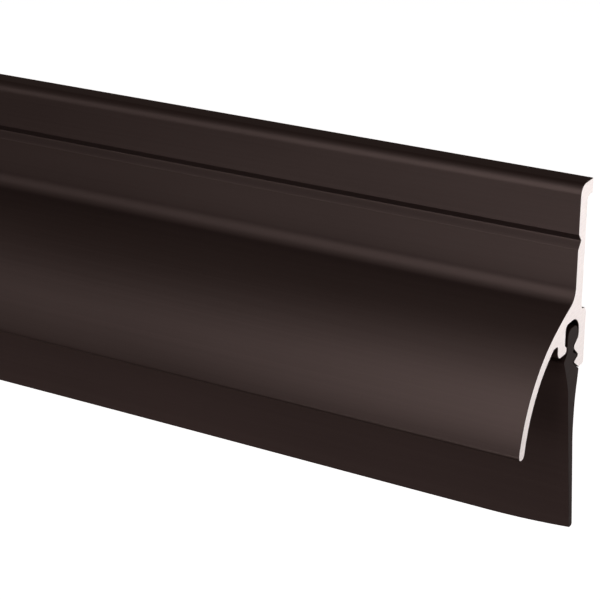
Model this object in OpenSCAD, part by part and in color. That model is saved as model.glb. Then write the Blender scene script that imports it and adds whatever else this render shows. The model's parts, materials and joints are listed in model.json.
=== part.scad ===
// Door sweep: an extruded rail with a drip cap, screwed to the foot of a door,
// and a vinyl insert whose fin wipes the sill.
//
// The origin is on the door's face, at mid-length, on the screw line. X runs along
// the door, Z is up, and the door is on the +Y side. A section is drawn in 2D with
// its first number the distance out from the door and its second the height.

/* [Rail] */
// Length of the rail and of its insert
rail_length = 914.4; // [760:0.1:1220]
// Height of the top edge above the screw line
top_rise = 8; // [7:0.1:10]
// Front face of the screw plate, measured out from the door
plate_front = 4.25; // [4.1:0.05:4.6]
// Thickness of the screw plate
plate_wall = 2.5; // [2.2:0.1:2.7]
// Height of the lip that bears on the door above the screws
lip_height = 2.2; // [1.8:0.1:2.6]
// Radius of the rounded top edge
top_round = 1.6; // [0.8:0.1:1.7]
// Width of the groove along the plate
groove_width = 2.2; // [1:0.1:2.4]
// Depth of the groove
groove_depth = 0.9; // [0.3:0.05:1.1]
// Drop of the groove's middle below the screw line
groove_drop = 0.25; // [0:0.05:1]

/* [Drip cap] */
// Outer radius of the cap's lower curve
cap_radius = 20.35; // [20.2:0.05:20.6]
// Outer radius of the flatter curve between the plate and the lower curve
shed_radius = 40; // [36:1:46]
// Thickness of the cap
cap_wall = 1.85; // [1.5:0.05:2]
// Drop of the lower curve's centre below the screw line
cap_drop = 29.6; // [29.4:0.1:29.8]
// Angle above the horizontal at which the cap ends
cap_end_angle = 11; // [8:1:40]
// Radius of the bend between the plate and the cap
crease_round = 2.5; // [0.8:0.1:3]

/* [Insert slot] */
// Thickness of the rear leg, which lies on the door
rear_leg_wall = 2.4; // [2.2:0.1:2.5]
// Clear width of the slot
slot_width = 4.7; // [4.5:0.1:4.9]
// Drop of the slot's ceiling below the screw line
slot_drop = 11.7; // [11.5:0.1:11.9]
// Drop of the rear leg's foot below the screw line
rear_leg_drop = 20; // [19.7:0.1:20.2]
// Radius of the bead that the front leg's toe ends in
front_bead = 0.6; // [0.4:0.05:0.7]
// Radius of the bead on the rear leg
rear_bead = 0.5; // [0.4:0.05:0.6]

/* [Insert] */
// Thickness of the neck between the two legs
neck_width = 2; // [1.6:0.1:2.4]
// Radius of the fin's root, on its bending line
root_radius = 1.4; // [1.2:0.05:1.5]
// Clearance of the root in its seat
root_clearance = 0.05; // [0.02:0.01:0.1]
// Drop of the bending line below the screw line
bend_drop = 22.4; // [22.2:0.1:22.8]
// Drop of the fin's lower edge below the screw line
fin_drop = 46.4; // [40:0.1:52]
// Half the fin's thickness at its lower edge
fin_tip_radius = 0.6; // [0.4:0.05:0.8]

/* [Screws] */
// Number of screws
screw_count = 4; // [2:1:4]
// Spacing of the screws along the rail
screw_pitch = 228.6; // [200:0.1:236]
// Diameter over the thread
thread_d = 3.5; // [3.2:0.1:3.5]
// Diameter of the plain neck under the head
neck_d = 3.1; // [2.8:0.1:3.1]
// Diameter of the pan head
head_d = 7; // [6.6:0.1:7.4]
// Height of the pan head
head_h = 2.3; // [2:0.1:2.6]
// Length under the head
screw_length = 19; // [13:1:25]
// Width of the slotted holes
hole_width = 4.2; // [4:0.1:4.6]
// Height of the slotted holes
hole_height = 8.4; // [8.2:0.1:8.8]

/* [Hidden] */
$fn = 64;

over = 1;                                  // how far a cutting shape runs past a face
plate_back = plate_front - plate_wall;
lip_fillet = 1;                            // inside corner under the lip
leg_fillet = 0.6;                          // inside corner over the rear leg
cap_centre = [1.3, -cap_drop];
cap_join = 60;                             // angle at which the two curves of the cap meet
dip = 0.002;                               // where curves follow on, one is set in this much
shed_centre = cap_centre + polar(cap_radius - dip - shed_radius, cap_join);

slot_rear = rear_leg_wall;
slot_front = slot_rear + slot_width;
slot_rear_round = 2.3;                     // big radius at the slot's rear top corner
slot_front_round = 0.8;
leg_radius = 1.25;                         // half the front leg's thickness
leg_top = [slot_front + leg_radius, -13.4];
leg_foot = [leg_top.x, -14.8];
heel_radius = 0.95;                        // the front leg's foot turns in from this heel
heel_at = [slot_front + 0.9, -15.1];
toe_at = [slot_front - 0.05, -15.45];      // to this toe
crotch = [slot_front + 3.8, -13.85];       // lower front corner of the solid over the slot
crease_bite = 1;                           // how deep the crease's filling runs into the cap
rear_leg_top = -11;
rear_leg_round = 1.2;                      // at the rear leg's top, against the door
rear_bead_at = [slot_rear + 0.88, -16.15];
bead_ramp_top = -14.9;                     // the bead's upper side runs out to this height
bead_ramp_angle = 54;                      // and leaves the bead at this angle
bead_under_angle = -48;                    // the notch's upper side leaves it at this one
bead_bite = 0.95;                          // both start this part of the bead's radius out
notch_at = [2.1, -17.9];                   // the barb of the insert catches in here
hook_tip = [3.6, -18.5];
hook_foot = 1.6;                           // width of the rear leg's foot

head_rear_at = [4.2, -14.05];              // the two rounds of the insert's head
head_front_at = [5, -13.95];
head_rear_round = 1.6;
head_front_round = 1.35;
neck_mid = 5.1;
bend_at = [3.7, -bend_drop];
seat_angle = 40;                           // the seat holds the root above this angle
fin_knee_at = [3.35, -29.6];               // below here the fin is an even blade
fin_knee_radius = 0.8;
fin_tip_at = [1.35, fin_tip_radius - fin_drop];

thread_start = -1;                         // the thread starts just short of the door
point_length = 4;
point_d = 0.4;
screw_bite = 0.2;                          // how far the neck runs into head and thread
recess_span = 3.8;                         // the two crossed bars of the drive recess
recess_width = 0.9;
recess_depth = 1.2;

function polar(r, a) = [r * cos(a), r * sin(a)];

// A length of extrusion, centred on mid-length, from a section
module along_rail(length) {
    rotate([90, 0, -90]) linear_extrude(length, center = true) children();
}

// A copy of its children at each screw, with the screw line as the new X axis
module at_screws() {
    for (i = [0 : screw_count - 1])
        translate([(i - (screw_count - 1) / 2) * screw_pitch, 0, 0]) children();
}

// Two discs and the straight tapering web between them
module link(a, radius_a, b, radius_b) {
    gap = b - a;
    along = atan2(gap.y, gap.x);
    side = acos((radius_a - radius_b) / norm(gap));
    translate(a) circle(radius_a);
    translate(b) circle(radius_b);
    polygon([
        a + polar(radius_a, along - side), b + polar(radius_b, along - side),
        b + polar(radius_b, along + side), a + polar(radius_a, along + side)
    ]);
}

// The fillet that fills an inside corner; open_x and open_y are +1 or -1 and say
// on which side of the corner the air is
module fillet(corner, radius, open_x, open_y) {
    difference() {
        translate(corner + radius * [min(open_x, 0), min(open_y, 0)]) square(radius);
        translate(corner + radius * [open_x, open_y]) circle(radius);
    }
}

// Screw plate and the lip that turns back to the door
module plate_section() {
    translate([plate_back, crotch.y])
        square([plate_wall, top_rise - top_round - crotch.y]);
    translate([0, top_rise - lip_height])
        square([plate_front - top_round, lip_height]);
    translate([plate_front - top_round, top_rise - top_round]) circle(top_round);
    fillet([plate_back, top_rise - lip_height], lip_fillet, -1, -1);
    fillet([plate_back, rear_leg_top], leg_fillet, -1, 1);
}

// What lies inside the cap's outer face when that face is moved in by inset: the lower
// curve's disc and, above the angle at which they meet, the flatter curve's disc
module cap_outline(inset) {
    far = 2 * shed_radius;
    translate(cap_centre) circle(cap_radius - inset, $fn = 180);
    intersection() {
        translate(shed_centre) circle(shed_radius - inset, $fn = 180);
        polygon([shed_centre, shed_centre + polar(far, cap_join), shed_centre + [0, far]]);
    }
}

// Drip cap: a flat curve off the plate, then a rounder one out to the rounded edge
module cap_section() {
    inside_plate = plate_front - plate_wall / 2;
    end = cap_centre + polar(2 * cap_radius, cap_end_angle);
    intersection() {
        difference() {
            cap_outline(0);
            cap_outline(cap_wall);
        }
        polygon([cap_centre, end, [end.x, 0], [inside_plate, 0], [inside_plate, cap_centre.y]]);
    }
    translate(cap_centre + polar(cap_radius - cap_wall / 2, cap_end_angle)) circle(cap_wall / 2 - dip);
}

// The hollow bend where the plate runs out into the cap
module crease_section() {
    reach = shed_radius + crease_round - dip;
    out = plate_front + crease_round - dip - shed_centre.x;
    centre = shed_centre + [out, sqrt(reach * reach - out * out)];
    in_cap = shed_centre + (centre - shed_centre) * (shed_radius - crease_bite) / reach;
    difference() {
        polygon([[plate_back, in_cap.y], in_cap, centre, [plate_back, centre.y]]);
        translate(centre) circle(crease_round);
    }
}

// The solid over the slot, with the slot's ceiling cut in it
module ceiling_section() {
    difference() {
        intersection() {
            translate(shed_centre) circle(shed_radius, $fn = 180);
            translate([plate_back, crotch.y]) square(crotch - [plate_back, 2 * crotch.y]);
        }
        slot_section();
    }
}

module slot_section() {
    low = crotch.y - over;
    difference() {
        translate([slot_rear, low]) square([slot_width, -slot_drop - low]);
        fillet([slot_rear, -slot_drop], slot_rear_round, 1, -1);
        fillet([slot_front, -slot_drop], slot_front_round, -1, -1);
    }
}

module front_leg_section() {
    link(leg_top, leg_radius, leg_foot, leg_radius);
    link(heel_at, heel_radius, toe_at, front_bead);
}

// The rear leg lies on the door, and its bead and hook hold the insert's barb
module rear_leg_section() {
    corner = [rear_leg_round, rear_leg_top - rear_leg_round];
    bead_hold = bead_bite * rear_bead;
    translate(corner) circle(rear_leg_round);
    translate(corner) square([slot_rear + slot_rear_round - corner.x, rear_leg_round]);
    polygon([
        [0, -rear_leg_drop], [hook_foot, -rear_leg_drop], hook_tip, notch_at,
        rear_bead_at + polar(bead_hold, bead_under_angle),
        rear_bead_at + polar(bead_hold, bead_ramp_angle),
        [slot_rear, bead_ramp_top], [slot_rear, corner.y], [0, corner.y]
    ]);
    translate(rear_bead_at) circle(rear_bead);
}

module carrier_section() {
    difference() {
        union() {
            plate_section();
            cap_section();
            crease_section();
            ceiling_section();
            front_leg_section();
            rear_leg_section();
        }
        slot_section();
        groove_section();
    }
}

// V-shaped groove along the plate, close to the screw line, to mark out the holes by
module groove_section() {
    mouth = groove_width / 2 * (groove_depth + over) / groove_depth;
    translate([plate_front, -groove_drop])
        polygon([[-groove_depth, 0], [over, -mouth], [over, mouth]]);
}

// Extruded aluminium rail with its slotted screw holes
module carrier() {
    color([0.25, 0.21, 0.2]) difference() {
        along_rail(rail_length) carrier_section();
        at_screws() rotate([90, 0, 0]) linear_extrude(plate_front + over) {
            for (side = [-1, 1])
                translate([0, side * (hole_height - hole_width) / 2]) circle(d = hole_width);
            square([hole_width, hole_height - hole_width], center = true);
        }
    }
}

// Head, neck, barb and shoulder of the insert, down to the fin's seat
module spline_section() {
    end = bend_at.y + (root_radius + root_clearance) * sin(seat_angle);
    difference() {
        union() {
            link(head_rear_at, head_rear_round, head_front_at, head_front_round);
            polygon([
                [neck_mid - neck_width / 2, -14], [neck_mid - neck_width / 2, -16.9],
                [2.45, -17.75], [3.9, -18.25], [3.95, -18.5], [2.05, -20.45],
                [2.2, end], [5.2, end], [5.2, -21], [6.6, -19], [7.2, -17.4],
                [neck_mid + neck_width / 2, -16.2], [neck_mid + neck_width / 2, -14]
            ]);
        }
        translate(bend_at) circle(root_radius + root_clearance);
    }
}

// Firm upper part of the vinyl insert, which slides along the slot
module seal_spline() {
    color([0.12, 0.11, 0.11]) along_rail(rail_length) spline_section();
}

// Soft lower part of the vinyl insert, which bends about its root
module seal_fin() {
    color([0.08, 0.07, 0.07]) along_rail(rail_length) {
        link(bend_at, root_radius, fin_knee_at, fin_knee_radius);
        link(fin_knee_at, fin_knee_radius, fin_tip_at, fin_tip_radius);
    }
}

// One pan head wood screw, drawn along +Z with the door's face at z = 0
module screw() {
    seat = -plate_front;
    tip = seat + screw_length;
    head_round = (head_d * head_d / 4 + head_h * head_h) / 2 / head_h;
    difference() {
        intersection() {
            translate([0, 0, seat - head_h]) cylinder(d = head_d, h = head_h);
            translate([0, 0, seat - head_h + head_round]) sphere(head_round);
        }
        cross_recess(seat - head_h);
    }
    translate([0, 0, seat - screw_bite])
        cylinder(d = neck_d, h = thread_start - seat + 2 * screw_bite);
    translate([0, 0, thread_start]) cylinder(d = thread_d, h = tip - point_length - thread_start);
    translate([0, 0, tip - point_length]) cylinder(d1 = thread_d, d2 = point_d, h = point_length);
}

module cross_recess(top) {
    for (turn = [0, 90])
        rotate([0, 0, turn]) translate([-recess_span / 2, -recess_width / 2, top - over])
            cube([recess_span, recess_width, over + recess_depth]);
}

// The screws that fasten the rail to the door, as one group of separate solids
module screws() {
    color([0.3, 0.26, 0.25]) at_screws() rotate([-90, 0, 0]) screw();
}

carrier();
seal_spline();
seal_fin();
screws();
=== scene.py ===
"""Door sweep: the visual model of the rail, its vinyl insert and its screws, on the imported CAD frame.

World frame, in metres: X runs along the rail, Z is up and the door is on the +Y side. Sections are drawn in
millimetres as (out, up): the distance out from the door's face, and the height above the screw line.
"""

import json
import math

import bmesh
import bpy
from mathutils import Matrix, Vector


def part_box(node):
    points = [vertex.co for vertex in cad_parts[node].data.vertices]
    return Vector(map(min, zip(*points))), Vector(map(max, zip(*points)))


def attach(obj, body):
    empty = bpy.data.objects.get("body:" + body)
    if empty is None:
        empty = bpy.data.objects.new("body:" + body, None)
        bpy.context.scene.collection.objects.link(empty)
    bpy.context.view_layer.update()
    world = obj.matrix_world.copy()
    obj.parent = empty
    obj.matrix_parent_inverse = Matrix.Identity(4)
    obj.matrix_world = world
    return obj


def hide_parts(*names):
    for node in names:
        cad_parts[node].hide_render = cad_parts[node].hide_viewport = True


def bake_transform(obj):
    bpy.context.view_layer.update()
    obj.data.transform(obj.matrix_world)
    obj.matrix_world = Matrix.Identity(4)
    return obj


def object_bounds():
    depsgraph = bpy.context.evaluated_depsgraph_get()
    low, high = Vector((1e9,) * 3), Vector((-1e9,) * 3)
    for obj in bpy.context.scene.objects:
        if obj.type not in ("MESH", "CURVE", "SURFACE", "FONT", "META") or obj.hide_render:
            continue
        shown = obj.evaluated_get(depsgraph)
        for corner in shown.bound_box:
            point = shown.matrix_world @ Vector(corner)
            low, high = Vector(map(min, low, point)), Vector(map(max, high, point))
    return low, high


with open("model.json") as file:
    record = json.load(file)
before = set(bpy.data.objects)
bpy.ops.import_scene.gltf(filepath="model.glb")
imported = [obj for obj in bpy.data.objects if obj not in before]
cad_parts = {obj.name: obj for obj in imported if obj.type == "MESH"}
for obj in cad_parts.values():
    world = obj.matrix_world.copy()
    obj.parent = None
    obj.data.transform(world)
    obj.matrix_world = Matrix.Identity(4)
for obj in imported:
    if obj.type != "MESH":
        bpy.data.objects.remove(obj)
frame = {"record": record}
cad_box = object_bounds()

MM = 0.001
SQUARE = ((-1, -1), (1, -1), (1, 1), (-1, 1))
RECORD = frame["record"]
MOUNTS = {mount["name"]: mount for mount in RECORD["mounts"]}
JOINTS = {joint["name"]: joint for joint in RECORD["behaviour"]["joints"]}

# ---- Driving dimensions, from the frame ------------------------------------------------------------------

RAIL_LOW, RAIL_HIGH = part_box("carrier")
FIN_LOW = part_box("seal_fin")[0]
SCREWS_LOW, SCREWS_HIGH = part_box("screws")

HALF_LENGTH = RAIL_HIGH.x / MM
TOP = RAIL_HIGH.z / MM
FIN_BOTTOM = FIN_LOW.z / MM
SCREW_TIP = SCREWS_HIGH.y / MM
SCREW_TOP = SCREWS_LOW.y / MM
FIN_ROOT = Vector(JOINTS["fin_flex"]["pos_m"])

# ---- Flat drawing helpers --------------------------------------------------------------------------------


def polar(radius, degrees):
    return Vector((radius * math.cos(math.radians(degrees)), radius * math.sin(math.radians(degrees))))


def on_circle(radius, out):
    """The point of a circle about the origin that is this far out, above the middle."""
    return Vector((out, math.sqrt(radius**2 - out**2)))


def arc(centre, radius, start, end, step):
    """Points round a circle from one angle to another, in degrees, both included."""
    count = max(3, math.ceil(abs(end - start) / step))
    return [centre + polar(radius, start + (end - start) * i / count) for i in range(count + 1)]


def rounded(corners, step=10):
    """A closed outline from corners, each a point or (out, up, radius of its rounding)."""
    points = [Vector(corner[:2]) for corner in corners]
    outline = []
    for i, corner in enumerate(corners):
        here = points[i]
        if len(corner) == 2:
            outline.append(here)
            continue
        to_last = (points[i - 1] - here).normalized()
        to_next = (points[(i + 1) % len(points)] - here).normalized()
        half = to_last.angle(to_next) / 2
        centre = here + (to_last + to_next).normalized() * corner[2] / math.sin(half)
        first = here + to_last * corner[2] / math.tan(half) - centre
        last = here + to_next * corner[2] / math.tan(half) - centre
        turn = math.degrees(first.angle_signed(last))
        start = math.degrees(math.atan2(first.y, first.x))
        outline += arc(centre, corner[2], start, start - turn, step)
    return outline


def finer(outline, longest, bottom, top):
    """The outline with its sides divided wherever they reach between two heights."""
    points = []
    for here, there in zip(outline, outline[1:] + outline[:1]):
        reaches = min(here.y, there.y) < top and max(here.y, there.y) > bottom
        count = math.ceil((there - here).length / longest) if reaches else 1
        points += [here.lerp(there, i / count) for i in range(count)]
    return points


def inset(outline, distance):
    """A counter-clockwise outline, moved inwards."""
    moved = []
    for i, here in enumerate(outline):
        along = outline[(i + 1) % len(outline)] - outline[i - 1]
        moved.append(here + Vector((-along.y, along.x)).normalized() * distance)
    return moved


# ---- Rail section, in millimetres ------------------------------------------------------------------------

PLATE_FRONT = 4.25
PLATE_BACK = 1.75
LIP_BOTTOM = TOP - 2.2
TOP_ROUND = 1.6
GROOVE_HALF = 1.1
GROOVE_DEPTH = 0.9
GROOVE_MIDDLE = -0.25

CAP_CENTRE = Vector((1.3, -29.6))
CAP_RADIUS = 20.35
CAP_WALL = 1.85
CAP_END = 11
CAP_JOIN = 60
SHED_RADIUS = 40
SHED_CENTRE = CAP_CENTRE + polar(CAP_RADIUS - SHED_RADIUS, CAP_JOIN)
CREASE_ROUND = 2.5
CREASE_OUT = PLATE_FRONT + CREASE_ROUND
CREASE_CENTRE = SHED_CENTRE + on_circle(SHED_RADIUS + CREASE_ROUND, CREASE_OUT - SHED_CENTRE.x)

SLOT_REAR = 2.4
SLOT_FRONT = 7.1
SLOT_CEILING = -11.7
LEG_FRONT = SLOT_FRONT + 2.5
LEG_FOOT = -16.05
CROTCH = -13.85
REAR_LEG_TOP = -11
HOOK_FOOT = -20

EDGE_BREAK = 0.06

HOLE_WIDTH = 4.2
HOLE_HEIGHT = 8.4

# How far the holes' cutters reach past the plate's back and front
CUT_BEHIND = 0.5
CUT_AHEAD = 1

# ---- Screws, in millimetres ------------------------------------------------------------------------------

HEAD_RADIUS = 3.5
HEAD_HEIGHT = 2.3
CROWN_SHARE = 0.55
RIM_HEIGHT = 1.15
RIM_ROUND = 0.5
SEAT_ROUND = 0.2
NECK_RADIUS = 1.5
THREAD_RADIUS = 1.75
THREAD_CORE = 1.2
THREAD_PITCH = 1.4
THREAD_START = -1
THREAD_LEAD = 0.35
THREAD_HALF_WIDTH = 0.32
POINT_LENGTH = 4
POINT_CORE = 0.12
POINT_THREAD = 0.06
POINT_TIP = 0.05
CORE_TAPER = 0.8
THREAD_TAPER = 0.65
CREST_POWER = 1.3
SCREW_SHARP = 35
FIRST_TURN = 17
TURN_STEP = 53

# Room under the heads, so that they and the plate share no plane
HEAD_CLEAR = 0.02

# The drive recess's top and bottom: depth under the crown, half length and half width of each bar
RECESS_ENDS = ((-0.4, 2.3, 0.52), (1.35, 0.75, 0.3))

# ---- Mesh helpers ----------------------------------------------------------------------------------------

SHARP_EDGE = 30


def new_object(name, bm, materials, sharp=SHARP_EDGE):
    """An object from a bmesh in metres, smooth except across edges sharper than the given angle."""
    bmesh.ops.recalc_face_normals(bm, faces=bm.faces)
    mesh = bpy.data.meshes.new(name)
    bm.to_mesh(mesh)
    bm.free()
    for material in materials:
        mesh.materials.append(material)
    mesh.shade_smooth()
    mesh.set_sharp_from_angle(angle=math.radians(sharp))
    obj = bpy.data.objects.new(name, mesh)
    bpy.context.scene.collection.objects.link(obj)
    return obj


def skin(bm, rings):
    """The faces between each ring of vertices and the next, ring by ring."""
    faces = []
    for low, high in zip(rings, rings[1:]):
        for i in range(len(low)):
            j = (i + 1) % len(low)
            faces.append(bm.faces.new((low[i], low[j], high[j], high[i])))
    return faces


def extrude_outline(outline, stations, edge_break, shift=None):
    """A bmesh of the outline along X, with its two cut edges broken. Its end faces have material index 1.

    shift(x, point) may move each point of a ring, for a strip that isn't quite straight."""
    bm = bmesh.new()
    small = inset(outline, edge_break)
    rings = [(stations[0] - edge_break, small)]
    rings += [(x, outline) for x in stations]
    rings += [(stations[-1] + edge_break, small)]
    loops = []
    for x, points in rings:
        placed = [shift(x, point) if shift else point for point in points]
        loops.append([bm.verts.new((x * MM, -p.x * MM, p.y * MM)) for p in placed])
    skin(bm, loops)
    for loop in (loops[0], loops[-1]):
        bm.faces.new(loop).material_index = 1
    return bm


def cut(obj, cutters):
    """Subtracts the cutters from obj for good and removes them."""
    for cutter in cutters:
        modifier = obj.modifiers.new("cut", "BOOLEAN")
        modifier.operation = "DIFFERENCE"
        modifier.solver = "EXACT"
        modifier.object = cutter
    bpy.context.view_layer.update()
    graph = bpy.context.evaluated_depsgraph_get()
    mesh = bpy.data.meshes.new_from_object(obj.evaluated_get(graph))
    old = obj.data
    obj.modifiers.clear()
    obj.data = mesh
    mesh.name = old.name
    bpy.data.meshes.remove(old)
    for cutter in cutters:
        bpy.data.objects.remove(cutter)


def even_normals(obj):
    """Big flat faces keep their own normal up to the edge of the rounds beside them."""
    modifier = obj.modifiers.new("even_normals", "WEIGHTED_NORMAL")
    modifier.keep_sharp = True


# ---- Material helpers ------------------------------------------------------------------------------------


class Nodes:
    """A new material's node tree, with short calls for the nodes that the finishes here use."""

    def __init__(self, name):
        self.material = bpy.data.materials.new(name)
        self.material.use_nodes = True
        self.tree = self.material.node_tree
        self.shader = self.tree.nodes["Principled BSDF"]
        self.place = self.add("ShaderNodeTexCoord").outputs["Object"]

    def add(self, kind, **settings):
        node = self.tree.nodes.new(kind)
        for key, value in settings.items():
            setattr(node, key, value)
        return node

    def link(self, source, target):
        self.tree.links.new(source, target)

    def stretched(self, scale):
        """Object coordinates in metres, scaled on each axis."""
        mapping = self.add("ShaderNodeMapping")
        mapping.inputs["Scale"].default_value = scale
        self.link(self.place, mapping.inputs["Vector"])
        return mapping.outputs["Vector"]

    def noise(self, scale, detail=2.0, roughness=0.5):
        """Noise whose features are 1/scale metres on each axis."""
        node = self.add("ShaderNodeTexNoise")
        node.inputs["Scale"].default_value = 1.0
        node.inputs["Detail"].default_value = detail
        node.inputs["Roughness"].default_value = roughness
        self.link(self.stretched(scale), node.inputs["Vector"])
        return node.outputs["Fac"]

    def spread(self, value, low, high, start=0.3, end=0.7):
        """value from start to end becomes low to high."""
        node = self.add("ShaderNodeMapRange")
        for key, number in (("From Min", start), ("From Max", end), ("To Min", low), ("To Max", high)):
            node.inputs[key].default_value = number
        self.link(value, node.inputs["Value"])
        return node.outputs["Result"]

    def near_height(self, height_mm, reach_mm):
        """1 at a height in the section, falling smoothly to 0 at a distance above and below it."""
        split = self.add("ShaderNodeSeparateXYZ")
        self.link(self.place, split.inputs["Vector"])
        away = self.add("ShaderNodeMath", operation="SUBTRACT")
        self.link(split.outputs["Z"], away.inputs[0])
        away.inputs[1].default_value = height_mm * MM
        size = self.add("ShaderNodeMath", operation="ABSOLUTE")
        self.link(away.outputs["Value"], size.inputs[0])
        node = self.add("ShaderNodeMapRange", interpolation_type="SMOOTHSTEP")
        for key, number in (("From Min", 0), ("From Max", reach_mm * MM), ("To Min", 1), ("To Max", 0)):
            node.inputs[key].default_value = number
        self.link(size.outputs["Value"], node.inputs["Value"])
        return node.outputs["Result"]

    def mix(self, factor, first, second):
        """A colour between two colours."""
        node = self.add("ShaderNodeMix", data_type="RGBA")
        self.link(factor, node.inputs["Factor"])
        for key, colour in (("A", first), ("B", second)):
            socket = next(s for s in node.inputs if s.name == key and s.type == "RGBA")
            if isinstance(colour, tuple):
                socket.default_value = (*colour, 1)
            else:
                self.link(colour, socket)
        return next(s for s in node.outputs if s.type == "RGBA")

    def sum(self, first, second, weight):
        """first + weight * second."""
        node = self.add("ShaderNodeMath", operation="MULTIPLY_ADD")
        self.link(second, node.inputs[0])
        node.inputs[1].default_value = weight
        self.link(first, node.inputs[2])
        return node.outputs["Value"]

    def bump(self, height, depth_mm):
        node = self.add("ShaderNodeBump")
        node.inputs["Strength"].default_value = 1.0
        node.inputs["Distance"].default_value = depth_mm * MM
        self.link(height, node.inputs["Height"])
        self.link(node.outputs["Normal"], self.shader.inputs["Normal"])

    def wire(self, socket, value):
        self.link(value, self.shader.inputs[socket])

    def set(self, **values):
        for key, value in values.items():
            self.shader.inputs[key.replace("_", " ")].default_value = value


# ---- Materials -------------------------------------------------------------------------------------------


def anodised_bronze():
    """Dark bronze anodise with a satin sheen: fine die lines, faint blotches, and painted shade that
    darkens the crease and the groove.
    """
    nodes = Nodes("anodised_bronze")
    die_lines = nodes.noise((3, 2600, 2600), detail=3, roughness=0.6)
    blotches = nodes.noise((14, 60, 60), detail=3)
    grain = nodes.noise((2400, 2400, 2400), detail=2)
    tone = nodes.mix(nodes.spread(blotches, 0, 1), (0.112, 0.081, 0.076), (0.128, 0.093, 0.087))
    lined = nodes.mix(nodes.spread(die_lines, 0, 0.3), tone, (0.150, 0.110, 0.103))
    # Painted shade: darker bands on the crease's round and on the groove's lower flank, where shade falls
    crease = nodes.near_height(CREASE_CENTRE.y - 0.5 * CREASE_ROUND, 0.7 * CREASE_ROUND)
    painted_groove_shade = nodes.near_height(GROOVE_MIDDLE - 0.55 * GROOVE_HALF, 0.7 * GROOVE_HALF)
    painted_shade = nodes.sum(nodes.spread(crease, 0, 0.3, 0, 1), painted_groove_shade, 0.35)
    # The painted shade pulls the base colour towards a dark brown in the crease and the groove
    nodes.wire("Base Color", nodes.mix(painted_shade, lined, (0.045, 0.030, 0.028)))
    nodes.wire("Roughness", nodes.sum(nodes.spread(blotches, 0.40, 0.45), die_lines, 0.05))
    nodes.set(Metallic=1.0)
    nodes.bump(nodes.sum(die_lines, grain, 0.6), 0.006)
    return nodes.material


def sawn_aluminium():
    """Bare aluminium on the cut ends, with the saw's fine scratches."""
    nodes = Nodes("sawn_aluminium")
    scratches = nodes.noise((60, 900, 5200), detail=3, roughness=0.6)
    grain = nodes.noise((3000, 3000, 3000))
    tone = nodes.mix(nodes.spread(scratches, 0, 1), (0.83, 0.785, 0.775), (0.93, 0.895, 0.885))
    nodes.wire("Base Color", tone)
    nodes.wire("Roughness", nodes.spread(scratches, 0.36, 0.52))
    nodes.set(Metallic=0.9)
    nodes.bump(nodes.sum(scratches, grain, 0.5), 0.012)
    return nodes.material


def vinyl():
    """Satin black-brown vinyl with faint clouds and draw lines along it."""
    nodes = Nodes("satin_vinyl")
    draw_lines = nodes.noise((4, 1500, 1500), detail=3, roughness=0.6)
    clouds = nodes.noise((22, 45, 45), detail=3)
    grain = nodes.noise((3200, 3200, 3200))
    tone = nodes.mix(nodes.spread(clouds, 0, 1), (0.068, 0.0445, 0.041), (0.082, 0.0535, 0.0495))
    nodes.wire("Base Color", nodes.mix(nodes.spread(draw_lines, 0, 0.3), tone, (0.100, 0.067, 0.062)))
    nodes.wire("Roughness", nodes.sum(nodes.spread(clouds, 0.55, 0.65), draw_lines, 0.06))
    nodes.set(Specular_IOR_Level=0.06)
    nodes.bump(nodes.sum(draw_lines, grain, 0.7), 0.012)
    return nodes.material


def cut_vinyl():
    """The sliced end of the insert: duller and paler than the skin."""
    nodes = Nodes("sliced_vinyl")
    slices = nodes.noise((60, 500, 3600), detail=3)
    tone = nodes.mix(nodes.spread(slices, 0, 1), (0.070, 0.050, 0.048), (0.096, 0.072, 0.069))
    nodes.wire("Base Color", tone)
    nodes.wire("Roughness", nodes.spread(slices, 0.6, 0.75))
    nodes.set(Specular_IOR_Level=0.12)
    nodes.bump(slices, 0.02)
    return nodes.material


def painted_bronze():
    """Baked paint on the screws, with a fine orange peel."""
    nodes = Nodes("baked_paint")
    peel = nodes.noise((900, 900, 900), detail=2)
    specks = nodes.noise((350, 350, 350), detail=4, roughness=0.65)
    tone = nodes.mix(nodes.spread(specks, 0, 1), (0.046, 0.034, 0.032), (0.062, 0.047, 0.044))
    nodes.wire("Base Color", tone)
    nodes.wire("Roughness", nodes.spread(specks, 0.28, 0.4))
    nodes.set(Metallic=0.2, Coat_Weight=0.3, Coat_Roughness=0.25)
    nodes.bump(peel, 0.01)
    return nodes.material


def plain_zinc():
    """The screws' shanks, zinc plated, where the paint stops under the head."""
    nodes = Nodes("zinc_plate")
    streaks = nodes.noise((500, 500, 500), detail=4)
    tone = nodes.mix(nodes.spread(streaks, 0, 1), (0.50, 0.50, 0.50), (0.66, 0.66, 0.65))
    nodes.wire("Base Color", tone)
    nodes.wire("Roughness", nodes.spread(streaks, 0.25, 0.42))
    nodes.set(Metallic=1.0)
    nodes.bump(streaks, 0.004)
    return nodes.material


# ---- Rail ------------------------------------------------------------------------------------------------


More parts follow.
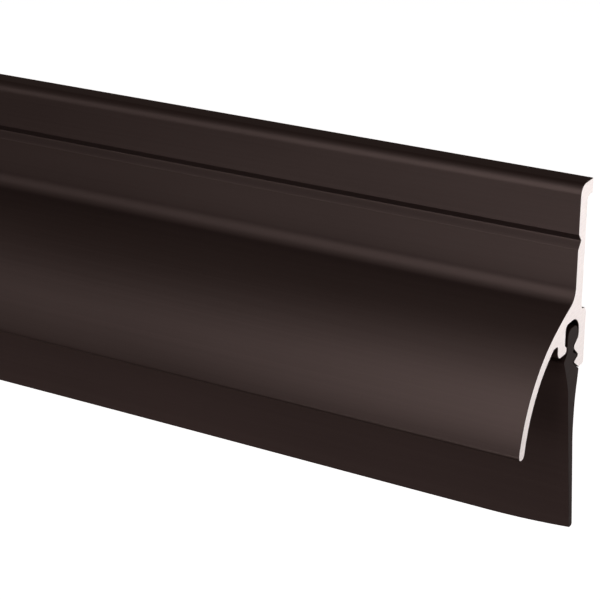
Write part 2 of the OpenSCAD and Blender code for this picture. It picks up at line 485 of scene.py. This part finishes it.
def rail_outline():
    """The rail's section, counter-clockwise from the top edge at the door."""
    crease_angle = math.degrees(math.atan2(*(CREASE_CENTRE - SHED_CENTRE).yx))
    cap_inner = CAP_RADIUS - CAP_WALL
    crotch_angle = math.degrees(math.asin((CROTCH - CAP_CENTRE.y) / cap_inner))

    back = [
        (0, TOP, 0.2),
        (0, LIP_BOTTOM, 0.2),
        (PLATE_BACK, LIP_BOTTOM, 1),
        (PLATE_BACK, REAR_LEG_TOP, 0.6),
        (0, REAR_LEG_TOP, 1.2),
        (0, HOOK_FOOT, 0.2),
    ]
    hook = [(1.6, HOOK_FOOT, 0.3), (3.65, -18.5, 0.2), (2.1, -17.9, 0.2)]
    rear_bead = [(4.07, -16.1, 0.5), (SLOT_REAR, -14.9, 0.6)]
    slot = [(SLOT_REAR, SLOT_CEILING, 2.3), (SLOT_FRONT, SLOT_CEILING, 0.8)]
    front_leg = [
        (SLOT_FRONT, -14.75, 0.4),
        (6.45, -15.1, 0.45),
        (6.45, LEG_FOOT, 0.55),
        (LEG_FRONT, LEG_FOOT, 1.2),
        (LEG_FRONT, CROTCH, 0.5),
    ]
    cap_inside = arc(CAP_CENTRE, cap_inner, crotch_angle, CAP_END, 2)
    edge_centre = CAP_CENTRE + polar(CAP_RADIUS - CAP_WALL / 2, CAP_END)
    cap_edge = arc(edge_centre, CAP_WALL / 2, CAP_END - 180, CAP_END, 10)[1:-1]
    cap_outside = arc(CAP_CENTRE, CAP_RADIUS, CAP_END, CAP_JOIN, 1.5)
    cap_outside += arc(SHED_CENTRE, SHED_RADIUS, CAP_JOIN + 0.75, crease_angle, 0.75)
    crease = arc(CREASE_CENTRE, CREASE_ROUND, crease_angle - 180, -180, 5)[1:]
    front = [
        (PLATE_FRONT, GROOVE_MIDDLE - GROOVE_HALF, 0.15),
        (PLATE_FRONT - GROOVE_DEPTH, GROOVE_MIDDLE, 0.15),
        (PLATE_FRONT, GROOVE_MIDDLE + GROOVE_HALF, 0.3),
        (PLATE_FRONT, TOP, TOP_ROUND),
    ]
    curved = [tuple(point) for point in cap_inside + cap_edge + cap_outside + crease]
    return rounded(back + hook + rear_bead + slot + front_leg + curved + front, step=8)


def slotted_cutter(x):
    """A bar as wide and as high as a screw's slotted hole, through the plate at x."""
    half_flat = (HOLE_HEIGHT - HOLE_WIDTH) / 2
    outline = arc(Vector((0, half_flat)), HOLE_WIDTH / 2, 0, 180, 6)
    outline += arc(Vector((0, -half_flat)), HOLE_WIDTH / 2, 180, 360, 6)
    bm = bmesh.new()
    rings = []
    for out in (PLATE_BACK - CUT_BEHIND, PLATE_FRONT + CUT_AHEAD):
        rings.append([bm.verts.new(((x + p.x) * MM, -out * MM, p.y * MM)) for p in outline])
    skin(bm, rings)
    for ring in rings:
        bm.faces.new(ring)
    return new_object("cutter", bm, [])


def screw_places():
    """Each screw's x in millimetres, from the two screw mounts."""
    places = []
    for name in ("inner_screws", "outer_screws"):
        half = MOUNTS[name]["dims"]["spacing_x_mm"] / 2
        places += [-half, half]
    return sorted(places)


def build_rail():
    end = HALF_LENGTH - EDGE_BREAK
    bm = extrude_outline(rail_outline(), [-end, end], EDGE_BREAK)
    rail = new_object("rail", bm, [anodised_bronze(), sawn_aluminium()])
    cut(rail, [slotted_cutter(x) for x in screw_places()])
    rail.data.set_sharp_from_angle(angle=math.radians(SHARP_EDGE))
    even_normals(rail)
    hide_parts("carrier")
    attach(rail, "rail")


# ---- Vinyl insert ----------------------------------------------------------------------------------------

CURL_LENGTH = 13
CURL_LIFT = 0.55
CURL_BACK = 0.1
CURL_STEPS = 8
FIN_TOP = -24
EDGE_WAVE = 0.18
LONG_WAVE = 73
SHORT_WAVE = 31
WAVE_START = 1.3

# Where the strip bends, above and below the fin's hinge, and the longest side of its section there
BEND_TOP = 1.9
BEND_BOTTOM = -4.1
BEND_STEP = 0.35


def insert_outline():
    """The insert's section, counter-clockwise from the top of its head."""
    head = [
        (4.4, -12.8, 1.2),
        (2.6, -12.9, 1.3),
        (2.6, -15, 1),
        (4, -15.7, 0.5),
    ]
    barb = [(4, -16.8, 0.3), (2.6, -17.65, 0.1), (2.4, -17.85, 0.1), (3.85, -18.35, 0.12)]
    back = [
        (3.82, -18.55, 0.12),
        (1.55, -20.2, 0.12),
        (1.85, -22.1, 20),
        (2.3, -24.5, 20),
        (2.5, -29.6, 30),
        (0.7, FIN_BOTTOM + 0.05, 0.4),
    ]
    tip = [(1.9, FIN_BOTTOM, 0.5)]
    front = [
        (4.15, -29.6, 30),
        (4.7, -25.8, 20),
        (5.15, -22.1, 10),
        (6.6, -18.6, 6),
        (7.15, -17.35, 0.3),
    ]
    neck = [(6.15, -16.3, 0.3), (6.15, -15.2, 0.5), (6.2, -14.6, 0.6), (6.1, -12.8, 1.2)]
    outline = rounded(head + barb + back + tip + front + neck)
    root_height = FIN_ROOT.z / MM
    return finer(outline, BEND_STEP, root_height + BEND_BOTTOM, root_height + BEND_TOP)


def insert_shift(x, point):
    """The strip's own unevenness: its fin waves a little and its corners have curled up."""
    down = max(0, (FIN_TOP - point.y) / (FIN_TOP - FIN_BOTTOM))
    wave = math.sin(x / SHORT_WAVE) * math.sin(x / LONG_WAVE + WAVE_START)
    near_end = max(0, 1 - (HALF_LENGTH - abs(x)) / CURL_LENGTH)
    curl = near_end**2 * down**2
    return point + Vector((EDGE_WAVE * wave * down**2 - CURL_BACK * curl, CURL_LIFT * curl))


def build_insert():
    end = HALF_LENGTH - EDGE_BREAK
    spacing = 8
    middle = HALF_LENGTH - CURL_LENGTH
    count = round(2 * middle / spacing)
    tail = [middle + (end - middle) * (i + 1) / CURL_STEPS for i in range(CURL_STEPS)]
    stations = [-x for x in reversed(tail)]
    stations += [-middle + 2 * middle * i / count for i in range(count + 1)]
    stations += tail
    bm = extrude_outline(insert_outline(), stations, EDGE_BREAK, insert_shift)
    insert = new_object("vinyl_insert", bm, [vinyl(), cut_vinyl()], sharp=40)
    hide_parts("seal_spline", "seal_fin")
    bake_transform(insert)


# ---- Screws ----------------------------------------------------------------------------------------------


def thread_radius(along, angle):
    """The screw's radius under its head, at a distance along its axis and an angle in turns."""
    if along < THREAD_START - THREAD_LEAD:
        return NECK_RADIUS
    to_tip = SCREW_TIP - along
    taper = min(1, to_tip / POINT_LENGTH)
    phase = (along / THREAD_PITCH - angle) % 1
    crest = max(0, 1 - abs(phase - 0.5) / THREAD_HALF_WIDTH)
    run_in = min(1, max(0, (along - THREAD_START) / THREAD_PITCH))
    core = THREAD_CORE * taper**CORE_TAPER + POINT_CORE
    outer = THREAD_RADIUS * taper**THREAD_TAPER + POINT_THREAD
    return core + max(0, min(outer, THREAD_RADIUS) - core) * crest**CREST_POWER * run_in


def head_profile():
    """(along, radius) from the head's crown to its underside: a pan head with a rounded rim."""
    rise = HEAD_HEIGHT * CROWN_SHARE
    crown = (HEAD_RADIUS**2 + rise**2) / 2 / rise
    crown_at = Vector((SCREW_TOP + crown, 0))
    half_open = math.degrees(math.asin((HEAD_RADIUS - RIM_ROUND) / crown))
    first_ring = half_open / 12
    top = arc(crown_at, crown, 180 - first_ring, 180 - half_open, 4)
    underside = -PLATE_FRONT - HEAD_CLEAR
    rim = rounded(
        [
            tuple(top[-1]),
            (underside - RIM_HEIGHT, HEAD_RADIUS, RIM_ROUND),
            (underside, HEAD_RADIUS, SEAT_ROUND),
            (underside, NECK_RADIUS),
        ]
    )
    return [tuple(point) for point in top[:-1]] + [tuple(point) for point in rim]


def screw_body():
    """Head and threaded shank as one closed skin, lathed ring by ring along +Y."""
    around = 48
    bm = bmesh.new()
    profile = head_profile()
    shank_top = profile[-1][0]
    steps = 130
    rings = [(along, [radius] * around) for along, radius in profile]
    for i in range(1, steps + 1):
        along = shank_top + (SCREW_TIP - POINT_TIP - shank_top) * i / steps
        rings.append((along, [thread_radius(along, k / around) for k in range(around)]))
    loops = []
    for along, radii in rings:
        points = [polar(radius, 360 * k / around) for k, radius in enumerate(radii)]
        loops.append([bm.verts.new((p.x * MM, along * MM, p.y * MM)) for p in points])
    for face in skin(bm, loops)[around * (len(profile) - 1) :]:
        face.material_index = 1
    crown = bm.verts.new((0, SCREW_TOP * MM, 0))
    tip = bm.verts.new((0, SCREW_TIP * MM, 0))
    for i in range(around):
        j = (i + 1) % around
        bm.faces.new((loops[0][j], loops[0][i], crown))
        bm.faces.new((loops[-1][i], loops[-1][j], tip)).material_index = 1
    return bm


def recess_arm(turn):
    """One tapered bar of the cross recess, cut from the crown downwards."""
    bm = bmesh.new()
    rings = []
    for depth, half_long, half_wide in RECESS_ENDS:
        along = SCREW_TOP + depth
        ring = [(a * half_long * MM, along * MM, b * half_wide * MM) for a, b in SQUARE]
        rings.append([bm.verts.new(corner) for corner in ring])
    skin(bm, rings)
    for ring in rings:
        bm.faces.new(ring)
    bmesh.ops.rotate(bm, verts=bm.verts, matrix=Matrix.Rotation(math.radians(turn), 3, "Y"))
    return new_object("cutter", bm, [])


def build_screws():
    model = new_object("screw_1", screw_body(), [painted_bronze(), plain_zinc()], SCREW_SHARP)
    cut(model, [recess_arm(0), recess_arm(90)])
    model.data.set_sharp_from_angle(angle=math.radians(SCREW_SHARP))
    screws = [model]
    for number in range(2, len(screw_places()) + 1):
        copy = bpy.data.objects.new(f"screw_{number}", model.data.copy())
        bpy.context.scene.collection.objects.link(copy)
        screws.append(copy)
    for number, (screw, x) in enumerate(zip(screws, screw_places())):
        screw.location = (x * MM, 0, 0)
        screw.rotation_euler = (0, math.radians(FIRST_TURN + TURN_STEP * number), 0)
        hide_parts("screws")
        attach(screw, "fixings")


# ---- Stage, lights and camera ----------------------------------------------------------------------------

NEAR_CORNER = RAIL_HIGH
VIEW_AZIMUTH = 30.4
VIEW_ELEVATION = 22.21
LENS = 121.25
CORNER_DEPTH = 0.2785
CORNER_RIGHT = 0.0405
CORNER_UP = 0.01692
FLOOR_DROP = 0.28
FLOOR_REACH = 14
AIM_INSET = 0.05
WARM_WHITE = (1, 0.965, 0.955)


def build_camera():
    """The camera, placed from the top near corner of the rail at the door."""
    azimuth = math.radians(VIEW_AZIMUTH)
    elevation = math.radians(VIEW_ELEVATION)
    level = math.cos(elevation)
    ahead = Vector((-math.sin(azimuth) * level, math.cos(azimuth) * level, -math.sin(elevation)))
    right = Vector((math.cos(azimuth), math.sin(azimuth), 0))
    up = right.cross(ahead)
    data = bpy.data.cameras.new("camera")
    data.lens = LENS
    data.sensor_width = 36
    data.clip_start = 0.02
    data.clip_end = 60
    camera = bpy.data.objects.new("camera", data)
    bpy.context.scene.collection.objects.link(camera)
    camera.location = NEAR_CORNER - ahead * CORNER_DEPTH - right * CORNER_RIGHT - up * CORNER_UP
    camera.rotation_euler = ahead.to_track_quat("-Z", "Y").to_euler()
    bpy.context.scene.camera = camera


def soft_box(name, target, azimuth, elevation, distance, width, height, power, colour=(1, 1, 1)):
    """A rectangular soft light that faces target from an azimuth and an elevation.

    Azimuth 0 is straight in front of the object."""
    data = bpy.data.lights.new(name, "AREA")
    data.shape = "RECTANGLE"
    data.size = width
    data.size_y = height
    data.energy = power
    data.color = colour
    light = bpy.data.objects.new(name, data)
    bpy.context.scene.collection.objects.link(light)
    a, e = math.radians(azimuth), math.radians(elevation)
    back = Vector((math.sin(a) * math.cos(e), -math.cos(a) * math.cos(e), math.sin(e)))
    light.location = target + back * distance
    light.rotation_euler = (-back).to_track_quat("-Z", "Y").to_euler()
    light.visible_camera = False


def build_lights():
    """Soft boxes in front, above and below for the satin finish, and one low behind each end for the
    cut faces. The numbers are azimuth, elevation, distance, width, height and power."""
    near = Vector((RAIL_HIGH.x - AIM_INSET, 0, 0))
    far = Vector((RAIL_LOW.x + AIM_INSET, 0, 0))
    middle = Vector((0, 0, 0))
    soft_box("key_low", near, -4, 12, 1.3, 0.7, 0.45, 1.75)
    soft_box("key_high", near, -5, 39, 1.3, 0.7, 0.7, 2.3)
    soft_box("top_light", near, -6, 72, 1.3, 0.6, 0.45, 0.6)
    soft_box("bounce", near, -6, -35, 1.3, 0.6, 0.5, 1.75)
    soft_box("left_fill", middle, -50, 22, 1.7, 0.9, 0.7, 0.85)
    soft_box("near_end_light", near, 138, -12, 0.9, 0.6, 0.5, 1.9, WARM_WHITE)
    soft_box("far_end_light", far, -138, -12, 0.9, 0.6, 0.5, 1.9, WARM_WHITE)


def build_world():
    """White behind everything for the camera, and a dim even light for the object."""
    world = bpy.data.worlds.new("studio")
    bpy.context.scene.world = world
    world.use_nodes = True
    tree = world.node_tree
    backdrop = tree.nodes["Background"]
    backdrop.inputs["Color"].default_value = (0.080, 0.060, 0.053, 1)
    white = tree.nodes.new("ShaderNodeBackground")
    white.inputs["Color"].default_value = (1, 1, 1, 1)
    path = tree.nodes.new("ShaderNodeLightPath")
    mix = tree.nodes.new("ShaderNodeMixShader")
    tree.links.new(path.outputs["Is Camera Ray"], mix.inputs["Fac"])
    tree.links.new(backdrop.outputs["Background"], mix.inputs[1])
    tree.links.new(white.outputs["Background"], mix.inputs[2])
    tree.links.new(mix.outputs["Shader"], tree.nodes["World Output"].inputs["Surface"])


def build_floor():
    """A plain white floor that the camera sees but that throws no light back on the object."""
    bm = bmesh.new()
    height = cad_box[0].z - FLOOR_DROP
    bm.faces.new([bm.verts.new((a * FLOOR_REACH, b * FLOOR_REACH, height)) for a, b in SQUARE])
    nodes = Nodes("white_floor")
    nodes.set(Base_Color=(0.85, 0.85, 0.85, 1), Roughness=0.8, Specular_IOR_Level=0.1)
    nodes.set(Emission_Color=(1, 1, 1, 1), Emission_Strength=0.93)
    floor = new_object("floor", bm, [nodes.material])
    floor.visible_glossy = False
    floor.visible_diffuse = False
    floor.visible_shadow = False


build_rail()
build_insert()
build_screws()
build_camera()
build_lights()
build_world()
build_floor()
bpy.context.scene.view_settings.view_transform = "Standard"
